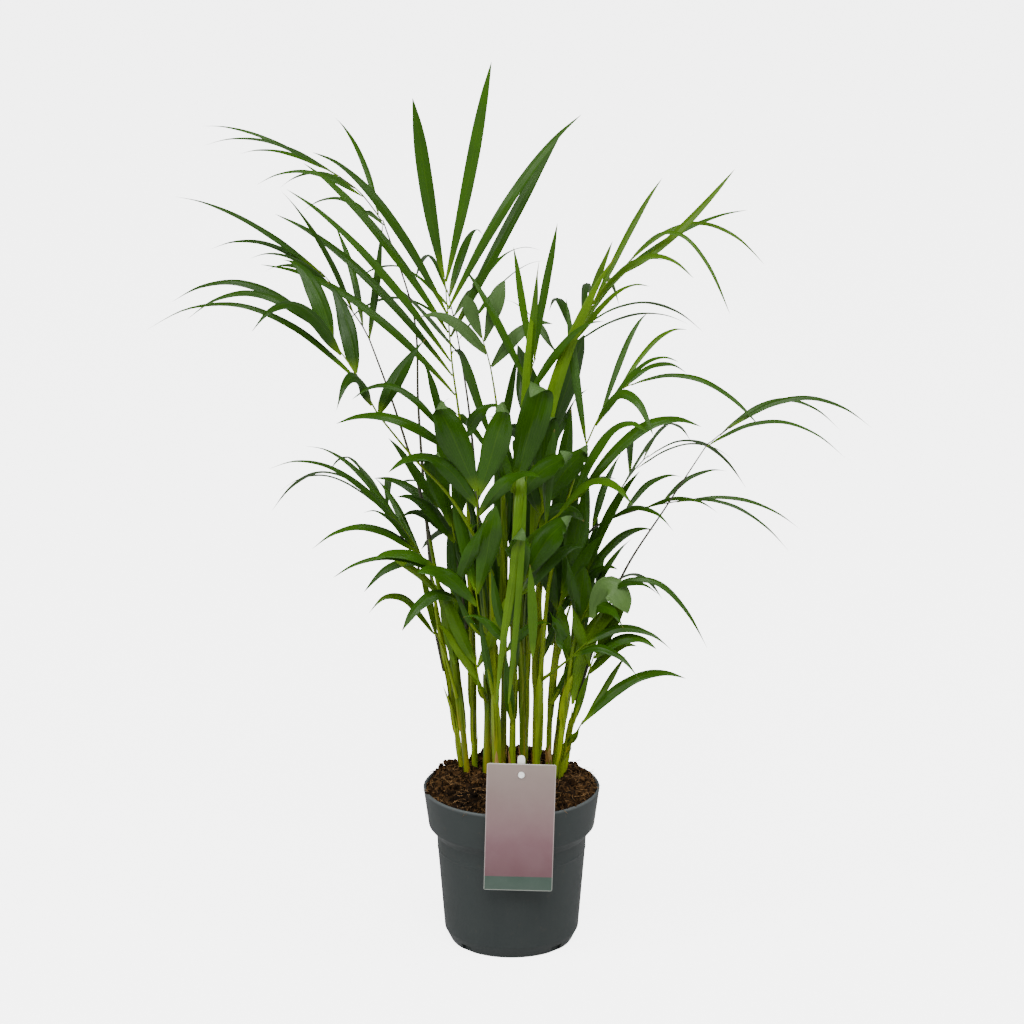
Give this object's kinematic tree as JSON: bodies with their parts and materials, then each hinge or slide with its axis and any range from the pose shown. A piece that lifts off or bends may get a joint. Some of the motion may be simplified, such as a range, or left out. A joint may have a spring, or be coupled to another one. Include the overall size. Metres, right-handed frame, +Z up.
{
  "type": "potted palm",
  "caption": "Young areca palm grown as a clump of seedlings with arching feathered fronds, in a tapered plastic nursery pot with soil and a plain plant label on a stake.",
  "frame": {"origin": "on the underside of the pot, at the pot's middle, level with the surface that the pot stands on", "axes": "+Z up along the pot's axis, -Y towards the side with the label, +X to the right when facing the label"},
  "size_m": [0.4734, 0.2875, 0.608],
  "materials": {
    "leaf": "satin",
    "cane": "satin",
    "pot": "satin",
    "soil": "matte",
    "tag": "satin",
    "stake": "satin"
  },
  "bodies": {
    "root": {"pot": "pot", "soil": "soil", "tag": "tag", "tag_stake": "stake", "stem_01": "cane", "stem_02": "cane", "stem_03": "cane", "stem_04": "cane", "stem_05": "cane", "stem_06": "cane", "stem_07": "cane", "stem_08": "cane", "stem_09": "cane", "stem_10": "cane", "stem_11": "cane", "stem_12": "cane", "stem_13": "cane", "stem_14": "cane", "stem_15": "cane", "stem_16": "cane", "frond_01": "leaf", "frond_02": "leaf", "frond_03": "leaf", "frond_04": "leaf", "frond_05": "leaf", "frond_06": "leaf", "frond_07": "leaf", "frond_08": "leaf", "frond_09": "leaf", "frond_10": "leaf", "frond_11": "leaf", "frond_12": "leaf", "frond_13": "leaf", "frond_14": "leaf", "frond_15": "leaf", "frond_16": "leaf", "frond_17": "leaf", "frond_18": "leaf", "frond_19": "leaf", "frond_20": "leaf", "frond_21": "leaf", "frond_22": "leaf", "frond_23": "leaf", "frond_24": "leaf", "frond_25": "leaf", "frond_26": "leaf", "frond_27": "leaf", "frond_28": "leaf", "frond_29": "leaf", "frond_30": "leaf", "frond_31": "leaf", "frond_32": "leaf", "frond_33": "leaf", "frond_34": "leaf", "frond_35": "leaf", "frond_36": "leaf", "frond_37": "leaf", "frond_38": "leaf", "frond_39": "leaf", "frond_40": "leaf"}
  },
  "joints": []
}
